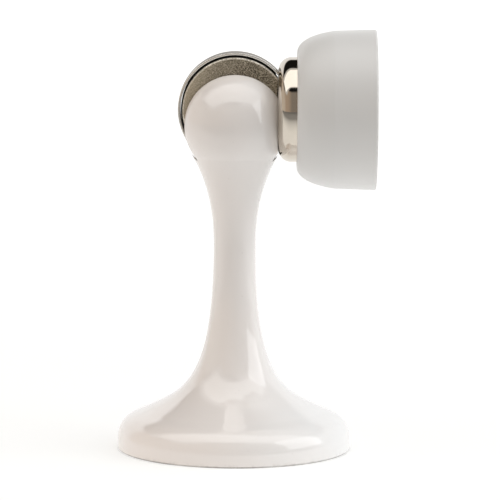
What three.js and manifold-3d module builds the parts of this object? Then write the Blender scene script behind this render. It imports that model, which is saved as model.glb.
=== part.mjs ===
// A floor-standing magnetic door stop and the cup that meets it on the door.
// The pedestal holds a flat magnet pack in the slot of its round head. The cup holds a sprung strike,
// a polished steel cap that the magnet pulls on and that gives a little when the door arrives.
// Millimetres, +Z up. The origin is the centre of the foot's underside, and the door is towards +X.

import * as THREE from "three";
import { mergeVertices } from "three/addons/utils/BufferGeometryUtils.js";
import Module from "manifold-3d";

const wasm = await Module();
wasm.setup();

// ---------------------------------------------------------------- sizes

const GAP = 0.3; // between pieces that touch

// Facets round a full turn, and steps along a curved stretch of an outline.
const ROUND = 40;
const FINE_ROUND = 20;
const CURVE_STEPS = 8;

// Pedestal: foot, waist, neck and round head, as radii and heights.
const FOOT_R = 29;
const FOOT_EDGE_Z = 2.5;
const FOOT_CHAMFER = 0.4;
const SHOULDER = { r: 22, z: 10, slope: THREE.MathUtils.degToRad(26.5) };
const WAIST = { r: 5.2, z: 51 };
const NECK = { r: 10.25, z: 72.6, slope: THREE.MathUtils.degToRad(62) };
const HEAD_R = 13.2;
const HEAD_Z = 81.1;
const HEAD_FLAT_X = 10.5;

// How far each point of the pedestal's outline pulls the curve along its own direction.
const PULL = {
  footUp: 5.4,
  shoulderDown: 3.2,
  shoulderUp: 10,
  waistDown: 35.2,
  waistUp: 11.7,
  neckDown: 4,
};

// Underside of the pedestal: a pocket for the floor plate, a boss for its stud and a hollow between.
const POCKET_R = 25.6;
const POCKET_TOP_Z = 3.5;
const BOSS_R = 7;
const BOSS_BORE_R = 4.2;
const BOSS_BORE_TOP_Z = 20;
const HOLLOW = { topZ: 12, topR: 12, outerR: 20, outerZ: 5.5 };

// Floor plate, its three screw holes and the stud swaged into it.
const FLOOR_PLATE_R = 25.2;
const FLOOR_PLATE_THICK = 3.2;
const FLOOR_HOLES = { count: 3, circleR: 16, r: 2.2, sinkR: 4.3, sinkDepth: 2.1 };
const STUD_R = 3.9;
const STUD_FOOT_R = 6;
const STUD_FOOT_DEPTH = 2.1;
const STUD_TOP_Z = 18.5;
const STUD_CHAMFER = 0.8;

// Magnet pack: a D-shaped stack across the head, on the axis that the strike shares.
const AXIS_Z = 84.8;
const SLOT_R = 15.6;
const SLOT_HALF = 4.1;
const PACK_HALF = 3.8;
const POLE_R = 13.3;
const POLE_THICK = 1.6;
const POLE_CHAMFER = 0.3;
const HOOP_R = 14.2;
const HOOP_WALL = 0.6;
const HOOP_HALF = 3.1;
const MAGNET_R = 12.3;
const MAGNET_HALF = PACK_HALF - POLE_THICK - GAP;
const MAGNET_SET_BACK = 0.5;
const RIVET_R = 1.5;

// Grub screws. One clamps the pack from behind, one holds the foot on its plate, one the cup on its plate.
const PACK_GRUB = { r: 1.95, z: 80.6, outerY: 10.8, socketR: 1.1 };
const FOOT_GRUB = { r: 1.4, z: 2.2, outerY: 28.2, socketR: 0.75 };
const CUP_GRUB = { r: 1.2, x: 33.4, outerY: 19.4, socketR: 0.65 };
const SOCKET_SIDES = 6;
const SOCKET_DEPTH = 1.4;

// Door cup, as distances along +X and radii about the shared axis.
const CUP_FRONT_X = 15.2;
const CUP_BACK_X = 34.8;
const CUP_R = 19.9;
const CUP_LIP_R = 14.2;
const CUP_SHOULDER = { x: 24.5, r: 19.5 };
const CUP_PULL = { lipOut: 2, shoulderIn: 1, shoulderForward: 7.1 };
const CUP_RIM = { length: 0.5, drop: 0.25 };
const MOUTH_R = 13.7;
const TUBE_R = 15.4;
const WEB_FRONT_X = 22.4;
const WEB_THICK = 2.4;
const WEB_BORE_R = 3.95;
const CUP_INNER_R = 18.1;
const CUP_HOLLOW_X = 19.5;
const CUP_HOLLOW_BEVEL = { across: 1, along: 2 };
const DOOR_PLATE_R = 17.7;
const DOOR_PLATE_THICK = 2.5;
const DOOR_HOLES = { count: 3, circleR: 11.5, r: 1.9, sinkR: 3.7, sinkDepth: 1.8 };

// Sprung strike: the cap, the rod that carries it, the spring and what stops them.
const STRIKE_FACE_X = 10.85;
const STRIKE_R = 13;
const STRIKE_EDGE_R = 3.3;
const STRIKE_EDGE_PULL = 0.45; // of the edge's radius, left short of the corner
const STRIKE_BACK_X = 17.2;
const STRIKE_BORE_R = 11.4;
const STRIKE_FLOOR_X = 13.1;
const ROD_R = 2.5;
const ROD_HEAD = { r: 6.8, frontX: 13.4, backX: 14.9, domeR: 5.8, domeDrop: 0.1, edgeX: 14 };
const ROD_BACK_X = 28.3;
const ROD_CHAMFER = 0.4;
const GROOVE = { x: 26, width: 1.2, r: 1.8 };
const CAP_RING = { innerR: 5.9, outerR: 11.1, frontX: 15.2, thick: 1 };
const BUSH = { outerR: 3.65, boreR: 2.62, flangeR: 6.5, flangeThick: 0.9 };
const CLIP = { innerR: 2, outerR: 5.4, thick: 0.7, openingAngle: Math.PI / 3 };
const BUFFER = { innerR: 11, outerR: 13.4, thick: 0.9 };
const SPRING = { meanR: 4.95, wireR: 0.4, turns: 4, stepsPerTurn: 14, wireSides: 6 };

// ---------------------------------------------------------------- finishes

const finish = (color, roughness, metalness) =>
  new THREE.MeshStandardMaterial({ color, roughness, metalness });

const enamel = () => finish(0xe9e4de, 0.18, 0);
const satinEnamel = () => finish(0xd9d8d4, 0.35, 0);
const nickel = () => finish(0xb9ada0, 0.12, 1);
const blastedNickel = () => finish(0x857866, 0.5, 1);
const zincSteel = () => finish(0xb4b6b8, 0.35, 1);
const ferrite = () => finish(0x1d1b1a, 0.7, 0);
const blackSteel = () => finish(0x2b2b2d, 0.45, 1);
const nylon = () => finish(0xe8e4da, 0.5, 0);
const rubber = () => finish(0x1c1c1c, 0.85, 0);

// ---------------------------------------------------------------- geometry helpers

const WELD = 1e-4;

// A closed geometry as a solid that can be cut and joined.
function solidOf(geometry) {
  const bare = geometry.index ? geometry.toNonIndexed() : geometry.clone();
  for (const name of Object.keys(bare.attributes)) {
    if (name !== "position") bare.deleteAttribute(name);
  }
  const merged = mergeVertices(bare, WELD);
  const corners = merged.index.array;
  const kept = [];
  for (let i = 0; i < corners.length; i += 3) {
    const [a, b, c] = corners.slice(i, i + 3);
    if (a !== b && b !== c && c !== a) kept.push(a, b, c);
  }
  return new wasm.Manifold(
    new wasm.Mesh({
      numProp: 3,
      vertProperties: merged.attributes.position.array,
      triVerts: new Uint32Array(kept),
    }),
  );
}

// The solid's surface as a geometry again.
function geometryOf(solid) {
  const surface = solid.getMesh();
  return new THREE.BufferGeometry()
    .setAttribute("position", new THREE.BufferAttribute(surface.vertProperties, 3))
    .setIndex(new THREE.BufferAttribute(surface.triVerts, 1));
}

const cut = (body, ...tools) => tools.reduce((left, tool) => left.subtract(tool), body);

// A closed path from [across, along] points.
function pathThrough(points) {
  const path = new THREE.Path();
  path.setFromPoints(points.map(([across, along]) => new THREE.Vector2(across, along)));
  return path;
}

// Turned about the vertical axis: the path runs up the outside, as radius and height.
const turnedUpright = (path, sides = ROUND) =>
  solidOf(new THREE.LatheGeometry(path.getPoints(CURVE_STEPS), sides).rotateX(Math.PI / 2));

// Turned about the strike's axis: the path's second coordinate is the distance along +X.
const turnedAlongX = (path, sides = ROUND) =>
  solidOf(
    new THREE.LatheGeometry(path.getPoints(CURVE_STEPS), sides)
      .rotateZ(-Math.PI / 2)
      .translate(0, 0, AXIS_Z),
  );

const ringAlongX = (innerR, outerR, frontX, thick, sides = ROUND) =>
  turnedAlongX(
    pathThrough([
      [innerR, frontX],
      [outerR, frontX],
      [outerR, frontX + thick],
      [innerR, frontX + thick],
      [innerR, frontX],
    ]),
    sides,
  );

// A rod along +Y between two distances, at the given x and height.
const rodAlongY = (r, fromY, toY, x, z, sides = FINE_ROUND) =>
  solidOf(
    new THREE.CylinderGeometry(r, r, toY - fromY, sides).translate(x, (fromY + toY) / 2, z),
  );

// An outline drawn in X and Z about the pack's axis, as a plate centred at y and thick along Y.
const plateAcrossY = (outline, y, thick, bevel = 0) =>
  solidOf(
    new THREE.ExtrudeGeometry(outline, {
      depth: thick - 2 * bevel,
      curveSegments: CURVE_STEPS * 2,
      bevelEnabled: bevel > 0,
      bevelThickness: bevel,
      bevelSize: bevel,
      bevelOffset: -bevel,
      bevelSegments: 1,
    })
      .rotateX(Math.PI / 2)
      .translate(0, y + thick / 2 - bevel, AXIS_Z),
  );

// A disc with one side cut off flat at +X.
function dOutline(r, flatX) {
  const half = Math.acos(flatX / r);
  const outline = new THREE.Shape();
  outline.absarc(0, 0, r, half, 2 * Math.PI - half, false);
  outline.closePath();
  return outline;
}

// A band of a disc's rim that ends at the flat.
function bandOutline(innerR, outerR, flatX) {
  const outerHalf = Math.acos(flatX / outerR);
  const innerHalf = Math.acos(flatX / innerR);
  const outline = new THREE.Shape();
  outline.absarc(0, 0, outerR, outerHalf, 2 * Math.PI - outerHalf, false);
  outline.absarc(0, 0, innerR, 2 * Math.PI - innerHalf, innerHalf, true);
  outline.closePath();
  return outline;
}

// Countersunk holes on a circle, opening along the tool's own +Y.
function screwHoles({ count, circleR, r, sinkR, sinkDepth }, thick) {
  const bore = new THREE.Path();
  bore.moveTo(0, -GAP);
  bore.lineTo(r, -GAP);
  bore.lineTo(r, thick - sinkDepth);
  bore.lineTo(sinkR, thick);
  bore.lineTo(sinkR, thick + GAP);
  bore.lineTo(0, thick + GAP);
  const holes = [];
  for (let i = 0; i < count; i++) {
    const turn = (2 * Math.PI * i) / count;
    holes.push(
      new THREE.LatheGeometry(bore.getPoints(), FINE_ROUND).translate(
        circleR * Math.cos(turn),
        0,
        circleR * Math.sin(turn),
      ),
    );
  }
  return holes;
}

// A headless screw along +Y with a hexagon socket in its outer end.
function grubScrew({ r, socketR, outerY }, innerY, x, z) {
  const socket = rodAlongY(socketR, outerY - SOCKET_DEPTH, outerY + GAP, x, z, SOCKET_SIDES);
  return cut(rodAlongY(r, innerY, outerY, x, z), socket);
}

// ---------------------------------------------------------------- pedestal

// The outside of the pedestal: a flared foot, a slender waist, a trumpet neck and a ball.
function pedestalSide(path) {
  const shoulderDir = new THREE.Vector2(-Math.cos(SHOULDER.slope), Math.sin(SHOULDER.slope));
  const neckDir = new THREE.Vector2(Math.cos(NECK.slope), Math.sin(NECK.slope));
  const along = ({ r, z }, dir, length) => [r + dir.x * length, z + dir.y * length];
  path.lineTo(FOOT_R - FOOT_CHAMFER, 0);
  path.lineTo(FOOT_R, FOOT_CHAMFER);
  path.lineTo(FOOT_R, FOOT_EDGE_Z);
  path.bezierCurveTo(
    FOOT_R,
    FOOT_EDGE_Z + PULL.footUp,
    ...along(SHOULDER, shoulderDir, -PULL.shoulderDown),
    SHOULDER.r,
    SHOULDER.z,
  );
  path.bezierCurveTo(
    ...along(SHOULDER, shoulderDir, PULL.shoulderUp),
    WAIST.r,
    WAIST.z - PULL.waistDown,
    WAIST.r,
    WAIST.z,
  );
  path.bezierCurveTo(
    WAIST.r,
    WAIST.z + PULL.waistUp,
    ...along(NECK, neckDir, -PULL.neckDown),
    NECK.r,
    NECK.z,
  );
  const headStart = Math.atan2(NECK.z - HEAD_Z, NECK.r);
  path.absarc(0, HEAD_Z, HEAD_R, headStart, Math.PI / 2, false);
}

function standBody() {
  const path = new THREE.Path();
  path.moveTo(0, BOSS_BORE_TOP_Z);
  path.lineTo(BOSS_BORE_R, BOSS_BORE_TOP_Z);
  path.lineTo(BOSS_BORE_R, POCKET_TOP_Z);
  path.lineTo(BOSS_R, POCKET_TOP_Z);
  path.lineTo(BOSS_R, HOLLOW.topZ);
  path.lineTo(HOLLOW.topR, HOLLOW.topZ);
  path.lineTo(HOLLOW.outerR, HOLLOW.outerZ);
  path.lineTo(HOLLOW.outerR, POCKET_TOP_Z);
  path.lineTo(POCKET_R, POCKET_TOP_Z);
  path.lineTo(POCKET_R, 0);
  pedestalSide(path);
  const slot = rodAlongY(SLOT_R, -SLOT_HALF, SLOT_HALF, 0, AXIS_Z, ROUND);
  const beyondFlat = solidOf(
    new THREE.BoxGeometry(HEAD_R, 4 * HEAD_R, 4 * HEAD_R).translate(
      HEAD_FLAT_X + HEAD_R / 2,
      0,
      HEAD_Z,
    ),
  );
  const packScrewHole = rodAlongY(PACK_GRUB.r + GAP / 2, 0, 2 * HEAD_R, 0, PACK_GRUB.z);
  const footScrewHole = rodAlongY(
    FOOT_GRUB.r + GAP / 2,
    FLOOR_PLATE_R,
    2 * FOOT_R,
    0,
    FOOT_GRUB.z,
  );
  return cut(turnedUpright(path), slot, beyondFlat, packScrewHole, footScrewHole);
}

function floorPlate() {
  const holes = screwHoles(FLOOR_HOLES, FLOOR_PLATE_THICK).map((hole) =>
    solidOf(hole.rotateX(Math.PI / 2)),
  );
  const disc = turnedUpright(
    pathThrough([
      [STUD_FOOT_R + GAP, 0],
      [FLOOR_PLATE_R, 0],
      [FLOOR_PLATE_R, FLOOR_PLATE_THICK],
      [STUD_R + GAP, FLOOR_PLATE_THICK],
      [STUD_R + GAP, STUD_FOOT_DEPTH],
      [STUD_FOOT_R + GAP, 0],
    ]),
  );
  return cut(disc, ...holes);
}

const floorStud = () =>
  turnedUpright(
    pathThrough([
      [0, 0],
      [STUD_FOOT_R, 0],
      [STUD_R, STUD_FOOT_DEPTH],
      [STUD_R, STUD_TOP_Z - STUD_CHAMFER],
      [STUD_R - STUD_CHAMFER, STUD_TOP_Z],
      [0, STUD_TOP_Z],
    ]),
    FINE_ROUND,
  );

const footGrubScrew = () =>
  grubScrew(FOOT_GRUB, FLOOR_PLATE_R + GAP, 0, FOOT_GRUB.z);

// ---------------------------------------------------------------- magnet pack

const rivetHole = () => rodAlongY(RIVET_R + GAP, -HEAD_R, HEAD_R, 0, AXIS_Z);

// side is -1 at the front and +1 at the rear.
const polePlate = (side) =>
  cut(
    plateAcrossY(
      dOutline(POLE_R, HEAD_FLAT_X),
      side * (PACK_HALF - POLE_THICK / 2),
      POLE_THICK,
      POLE_CHAMFER,
    ),
    rivetHole(),
  );

const magnet = () =>
  cut(
    plateAcrossY(
      dOutline(MAGNET_R, HEAD_FLAT_X - MAGNET_SET_BACK),
      0,
      2 * MAGNET_HALF,
    ),
    rivetHole(),
  );

const magnetHoop = () =>
  plateAcrossY(bandOutline(HOOP_R - HOOP_WALL, HOOP_R, HEAD_FLAT_X), 0, 2 * HOOP_HALF);

const magnetSpacer = () =>
  plateAcrossY(
    bandOutline(MAGNET_R + GAP, HOOP_R - HOOP_WALL - GAP / 2, HEAD_FLAT_X - MAGNET_SET_BACK),
    0,
    2 * MAGNET_HALF,
  );

const packRivet = () => rodAlongY(RIVET_R, -PACK_HALF, PACK_HALF, 0, AXIS_Z);

const packGrubScrew = () => grubScrew(PACK_GRUB, PACK_HALF + GAP, 0, PACK_GRUB.z);

// ---------------------------------------------------------------- door cup

function cupShell() {
  const path = new THREE.Path();
  path.moveTo(MOUTH_R, CUP_FRONT_X + GAP);
  path.lineTo(MOUTH_R + GAP, CUP_FRONT_X);
  path.lineTo(CUP_LIP_R, CUP_FRONT_X);
  path.bezierCurveTo(
    CUP_LIP_R + CUP_PULL.lipOut,
    CUP_FRONT_X,
    CUP_SHOULDER.r - CUP_PULL.shoulderIn,
    CUP_SHOULDER.x - CUP_PULL.shoulderForward,
    CUP_SHOULDER.r,
    CUP_SHOULDER.x,
  );
  path.lineTo(CUP_R, CUP_BACK_X - CUP_RIM.length);
  path.lineTo(CUP_R - CUP_RIM.drop, CUP_BACK_X);
  path.lineTo(CUP_INNER_R, CUP_BACK_X);
  path.lineTo(CUP_INNER_R, CUP_HOLLOW_X + CUP_HOLLOW_BEVEL.along);
  path.lineTo(CUP_INNER_R - CUP_HOLLOW_BEVEL.across, CUP_HOLLOW_X);
  path.lineTo(TUBE_R, CUP_HOLLOW_X);
  path.lineTo(TUBE_R, WEB_FRONT_X + WEB_THICK);
  path.lineTo(WEB_BORE_R, WEB_FRONT_X + WEB_THICK);
  path.lineTo(WEB_BORE_R, WEB_FRONT_X);
  path.lineTo(MOUTH_R, WEB_FRONT_X);
  path.lineTo(MOUTH_R, CUP_FRONT_X + GAP);
  const screwHole = rodAlongY(
    CUP_GRUB.r + GAP / 2,
    DOOR_PLATE_R,
    2 * CUP_R,
    CUP_GRUB.x,
    AXIS_Z,
  );
  return cut(turnedAlongX(path), screwHole);
}

function doorPlate() {
  const front = CUP_BACK_X - DOOR_PLATE_THICK;
  const disc = turnedAlongX(
    pathThrough([
      [0, front],
      [DOOR_PLATE_R, front],
      [DOOR_PLATE_R, CUP_BACK_X],
      [0, CUP_BACK_X],
    ]),
  );
  const holes = screwHoles(DOOR_HOLES, DOOR_PLATE_THICK).map((hole) =>
    solidOf(hole.rotateZ(Math.PI / 2).translate(CUP_BACK_X, 0, AXIS_Z)),
  );
  return cut(disc, ...holes);
}

const cupGrubScrew = () => grubScrew(CUP_GRUB, DOOR_PLATE_R + GAP, CUP_GRUB.x, AXIS_Z);

function guideBush() {
  const flangeX = WEB_FRONT_X + WEB_THICK + GAP / 3;
  return turnedAlongX(
    pathThrough([
      [BUSH.boreR, WEB_FRONT_X],
      [BUSH.outerR, WEB_FRONT_X],
      [BUSH.outerR, flangeX],
      [BUSH.flangeR, flangeX],
      [BUSH.flangeR, flangeX + BUSH.flangeThick],
      [BUSH.boreR, flangeX + BUSH.flangeThick],
      [BUSH.boreR, WEB_FRONT_X],
    ]),
    FINE_ROUND,
  );
}

const bufferRing = () =>
  ringAlongX(BUFFER.innerR, BUFFER.outerR, WEB_FRONT_X - GAP - BUFFER.thick, BUFFER.thick);

// ---------------------------------------------------------------- sprung strike

function strikeCap() {
  const path = new THREE.Path();
  path.moveTo(0, STRIKE_FACE_X);
  path.lineTo(STRIKE_R - STRIKE_EDGE_R, STRIKE_FACE_X);
  path.bezierCurveTo(
    STRIKE_R - STRIKE_EDGE_PULL * STRIKE_EDGE_R,
    STRIKE_FACE_X,
    STRIKE_R,
    STRIKE_FACE_X + STRIKE_EDGE_PULL * STRIKE_EDGE_R,
    STRIKE_R,
    STRIKE_FACE_X + STRIKE_EDGE_R,
  );
  path.lineTo(STRIKE_R, STRIKE_BACK_X);
  path.lineTo(STRIKE_BORE_R, STRIKE_BACK_X);
  path.lineTo(STRIKE_BORE_R, STRIKE_FLOOR_X);
  path.lineTo(0, STRIKE_FLOOR_X);
  return turnedAlongX(path);
}

const capRing = () =>
  ringAlongX(CAP_RING.innerR, CAP_RING.outerR, CAP_RING.frontX, CAP_RING.thick);

const plungerRod = () =>
  turnedAlongX(
    pathThrough([
      [0, ROD_HEAD.frontX],
      [ROD_HEAD.domeR, ROD_HEAD.frontX + ROD_HEAD.domeDrop],
      [ROD_HEAD.r, ROD_HEAD.edgeX],
      [ROD_HEAD.r, ROD_HEAD.backX],
      [ROD_R, ROD_HEAD.backX],
      [ROD_R, GROOVE.x],
      [GROOVE.r, GROOVE.x],
      [GROOVE.r, GROOVE.x + GROOVE.width],
      [ROD_R, GROOVE.x + GROOVE.width],
      [ROD_R, ROD_BACK_X - ROD_CHAMFER],
      [ROD_R - ROD_CHAMFER, ROD_BACK_X],
      [0, ROD_BACK_X],
    ]),
    FINE_ROUND,
  );

// A snap ring with an opening, pushed into the rod's groove from the side.
function retainingClip() {
  const frontX = GROOVE.x + (GROOVE.width - CLIP.thick) / 2;
  const half = CLIP.openingAngle / 2;
  const outline = new THREE.Shape();
  outline.absarc(0, 0, CLIP.outerR, half, 2 * Math.PI - half, false);
  outline.absarc(0, 0, CLIP.innerR, 2 * Math.PI - half, half, true);
  outline.closePath();
  return solidOf(
    new THREE.ExtrudeGeometry(outline, {
      depth: CLIP.thick,
      curveSegments: CURVE_STEPS * 2,
      bevelEnabled: false,
    })
      .rotateY(Math.PI / 2)
      .translate(frontX, 0, AXIS_Z),
  );
}

class Helix extends THREE.Curve {
  constructor(radius, length, turns) {
    super();
    this.radius = radius;
    this.length = length;
    this.turns = turns;
  }

  getPoint(t, target = new THREE.Vector3()) {
    const turn = 2 * Math.PI * this.turns * t;
    return target.set(
      this.length * t,
      this.radius * Math.cos(turn),
      this.radius * Math.sin(turn),
    );
  }
}

function plungerSpring() {
  const wire = new THREE.Shape();
  wire.absarc(0, 0, SPRING.wireR, 0, 2 * Math.PI, false);
  const frontX = ROD_HEAD.backX + GAP / 2 + SPRING.wireR;
  const backX = WEB_FRONT_X - GAP / 2 - SPRING.wireR;
  return solidOf(
    new THREE.ExtrudeGeometry(wire, {
      steps: SPRING.turns * SPRING.stepsPerTurn,
      curveSegments: SPRING.wireSides / 2,
      extrudePath: new Helix(SPRING.meanR, backX - frontX, SPRING.turns),
    }).translate(frontX, 0, AXIS_Z),
  );
}

// ---------------------------------------------------------------- assembly

function mesh(name, solid, material) {
  const made = new THREE.Mesh(geometryOf(solid), material);
  made.name = name;
  return made;
}

const stand = new THREE.Group();
stand.add(
  mesh("stand_body", standBody(), enamel()),
  mesh("floor_plate", floorPlate(), zincSteel()),
  mesh("floor_stud", floorStud(), zincSteel()),
  mesh("foot_grub_screw", footGrubScrew(), blackSteel()),
  mesh("front_pole_plate", polePlate(-1), blastedNickel()),
  mesh("rear_pole_plate", polePlate(1), blastedNickel()),
  mesh("magnet", magnet(), ferrite()),
  mesh("magnet_hoop", magnetHoop(), nickel()),
  mesh("magnet_spacer", magnetSpacer(), rubber()),
  mesh("pack_rivet", packRivet(), zincSteel()),
  mesh("pack_grub_screw", packGrubScrew(), blackSteel()),
);

const doorCup = new THREE.Group();
doorCup.add(
  mesh("cup_shell", cupShell(), satinEnamel()),
  mesh("door_plate", doorPlate(), zincSteel()),
  mesh("cup_grub_screw", cupGrubScrew(), blackSteel()),
  mesh("guide_bush", guideBush(), nylon()),
  mesh("buffer_ring", bufferRing(), rubber()),
  mesh("plunger_spring", plungerSpring(), zincSteel()),
);

const strike = new THREE.Group();
strike.add(
  mesh("strike_cap", strikeCap(), nickel()),
  mesh("cap_ring", capRing(), zincSteel()),
  mesh("plunger_rod", plungerRod(), zincSteel()),
  mesh("retaining_clip", retainingClip(), blackSteel()),
);

const doorStop = new THREE.Group();
doorStop.add(stand, doorCup, strike);

export default doorStop;
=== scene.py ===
"""The looks of a magnetic door stop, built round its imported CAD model.

Sizes are in millimetres until a mesh is made, and most places come from the CAD boxes. Places in the
materials, the lights and the camera are in metres. +Z is up, the floor is at 0 and the door is towards +X.
"""

import math

import bmesh
import bpy
from mathutils import Matrix, Vector


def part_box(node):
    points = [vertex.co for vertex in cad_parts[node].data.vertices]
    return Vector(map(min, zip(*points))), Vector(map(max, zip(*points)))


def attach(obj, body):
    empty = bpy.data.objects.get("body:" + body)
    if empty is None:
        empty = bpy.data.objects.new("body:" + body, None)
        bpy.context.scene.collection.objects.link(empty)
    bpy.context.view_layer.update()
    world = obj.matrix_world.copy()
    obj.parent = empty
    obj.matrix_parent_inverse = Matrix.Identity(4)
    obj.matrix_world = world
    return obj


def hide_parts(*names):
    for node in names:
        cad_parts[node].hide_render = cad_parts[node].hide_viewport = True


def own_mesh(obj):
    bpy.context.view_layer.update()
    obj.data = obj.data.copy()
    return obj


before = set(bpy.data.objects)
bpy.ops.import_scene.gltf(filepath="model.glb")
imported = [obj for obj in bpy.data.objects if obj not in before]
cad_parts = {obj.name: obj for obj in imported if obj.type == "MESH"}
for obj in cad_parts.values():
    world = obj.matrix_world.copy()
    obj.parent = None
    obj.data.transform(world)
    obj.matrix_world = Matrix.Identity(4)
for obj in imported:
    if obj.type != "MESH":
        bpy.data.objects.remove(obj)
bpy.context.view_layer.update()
MM = 0.001

# ---------------------------------------------------------------- sizes


def box_mm(node):
    """The lowest and highest corner of a CAD node, in millimetres."""
    low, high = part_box(node)
    return low / MM, high / MM


STAND_HIGH = box_mm("stand_body")[1]
CUP_LOW, CUP_HIGH = box_mm("cup_shell")
STRIKE_LOW, STRIKE_HIGH = box_mm("strike_cap")
HOOP_HIGH = box_mm("magnet_hoop")[1]
PLATE_LOW, PLATE_HIGH = box_mm("front_pole_plate")
DOOR_PLATE_LOW, DOOR_PLATE_HIGH = box_mm("door_plate")

AXIS_Z = (STRIKE_LOW.z + STRIKE_HIGH.z) / 2
FLAT_X = HOOP_HIGH.x

# Outline of the pedestal, as radii and heights. A pull is how far a curve's handle reaches.
FOOT_R = STAND_HIGH.x
FOOT_EDGE_Z = 2.5
FOOT_FILLET = 0.5
SHOULDER = (22, 10)
SHOULDER_SLOPE = math.radians(26.5)
WAIST_R, WAIST_Z = 5.2, 51
NECK = (10.25, 72.6)
NECK_SLOPE = math.radians(62)
HEAD_R = 13.2
HEAD_Z = 81.1
PULL_FOOT_UP, PULL_SHOULDER_DOWN, PULL_SHOULDER_UP = 5.4, 3.2, 10
PULL_WAIST_DOWN, PULL_WAIST_UP, PULL_NECK_DOWN = 35.2, 11.7, 4
FOOT_STEPS, FLARE_STEPS, NECK_STEPS, HEAD_STEPS = 28, 56, 36, 56

# The hollow under the foot: a bored boss, a pocket round it and the seat of the floor plate.
BOSS_BORE_R, BOSS_BORE_TOP_Z = 4.2, 20
BOSS_R = 7
POCKET_TOP_R, POCKET_TOP_Z = 12, 12
POCKET_R, POCKET_SIDE_TOP_Z = 20, 5.5
SEAT_R, SEAT_Z = 25.6, 3.5

# The slot in the head, and the pack that sits in it.
SLOT_R = 15.6
SLOT_HALF = 4.1
SLOT_EDGE = 0.22
PLATE_SHORTFALL = 0.25
PLATE_R = PLATE_HIGH.z - AXIS_Z - PLATE_SHORTFALL
PLATE_CHAMFER, MAGNET_CHAMFER = 0.35, 0.2
CHAMFER_BULGE = 0.3
RIVET_HOLE_R = 1.8
HOOP_WALL, HOOP_CHAMFER = 0.6, 0.12
RIVET_CHAMFER = 0.2
SPACER_INNER_R, SPACER_CHAMFER = 12.6, 0.1

# Grub screws: the hexagon's corner radius of each, and what all have in common.
PACK_HEX_R, FOOT_HEX_R, CUP_HEX_R = 1.1, 0.75, 0.65
HEX_DEPTH, HEX_EDGE = 1.4, 0.06
GRUB_CHAMFER = 0.25
GRUB_CLEARANCE = 0.15
FOOT_HOLE_START = 25.2

# Floor plate and its stud.
FLOOR_HOLES = {"count": 3, "circle": 16, "r": 2.2, "sink": 4.3, "depth": 2.1}
STUD_FOOT_R, STUD_R = 6, 3.9
STUD_FOOT_DEPTH = 2.1
STUD_CHAMFER, STUD_FILLET = 0.8, 0.12
STUD_GAP = 0.3

# The cup, as radii and places along X: outside, inner wall, web and mouth.
CUP_LIP_R, CUP_LIP_PULL = 14.2, 2
CUP_SHOULDER_R, CUP_SHOULDER_X = 19.5, 24.5
CUP_SHOULDER_LEAN, CUP_SHOULDER_PULL = 1, 7.1
CUP_EDGE_LONG, CUP_EDGE_DEEP = 0.45, 0.22
CUP_INNER_R, CUP_TAPER_X = 18.1, 21.5
CUP_POCKET_R, CUP_POCKET_X = 17.1, 19.5
MOUTH_WALL_R, MOUTH_R = 15.4, 13.7
MOUTH_LIP = 0.02
CUP_STEPS = 40
WEB_FRONT_X, WEB_BACK_X, WEB_BORE_R = 22.4, 24.8, 3.95
DOOR_HOLES = {"count": 3, "circle": 11.5, "r": 1.9, "sink": 3.7, "depth": 1.8}
BUSH_BORE_R, BUSH_R, BUSH_FLANGE_R, BUSH_FLANGE, BUSH_FILLET = 2.62, 3.65, 6.5, 0.9, 0.15
BUFFER_INNER_R, BUFFER_R, BUFFER_FILLET = 11, 13.4, 0.2
SPRING_WIRE_R, SPRING_TURNS = 0.4, 4

# The strike, whose face all but touches the pack, and the rod behind it.
FACE_GAP = 0.03
STRIKE_FACE_X = FLAT_X + FACE_GAP
STRIKE_EDGE, STRIKE_PULL, STRIKE_STEPS = 3.3, 0.45, 24
STRIKE_BORE_R, STRIKE_FLOOR_X, STRIKE_FILLET = 11.4, 13.1, 0.2
CAP_RING_INNER_R, CAP_RING_R, CAP_RING_FILLET = 5.9, 11.1, 0.15
ROD_TIP_X, ROD_DOME_X, ROD_DOME_R = 13.4, 13.5, 5.8
ROD_HEAD_R, ROD_HEAD_FRONT_X, ROD_HEAD_BACK_X = 6.8, 14.0, 14.9
ROD_R, ROD_CHAMFER, ROD_FILLET = 2.5, 0.4, 0.1
GROOVE_R, GROOVE_FRONT_X, GROOVE_BACK_X = 1.8, 26, 27.2
CLIP_INNER_R, CLIP_CHAMFER = 2.0, 0.08
CLIP_HALF_OPENING = math.radians(30)

# How far the edges of the cup and the plates are rounded, and the plates' edges after their holes are cut.
EDGE_BREAK = 0.25
HOLE_EDGE = 0.08

# ---------------------------------------------------------------- mesh helpers

# Sides of round things.
ROUND = 160
BROAD_ROUND = 192
FINE_ROUND = 64
HOLE_ROUND = 48

SLIGHT_TURN = math.radians(14)
FILLET_SHARE = 0.45


def bezier(p0, c1, c2, p3, steps):
    """Points along a cubic curve, without its first one."""
    made = []
    for i in range(1, steps + 1):
        t = i / steps
        s = 1 - t
        weights = (s**3, 3 * s * s * t, 3 * s * t * t, t**3)
        made.append(
            tuple(sum(w * p[k] for w, p in zip(weights, (p0, c1, c2, p3))) for k in (0, 1))
        )
    return made


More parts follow.
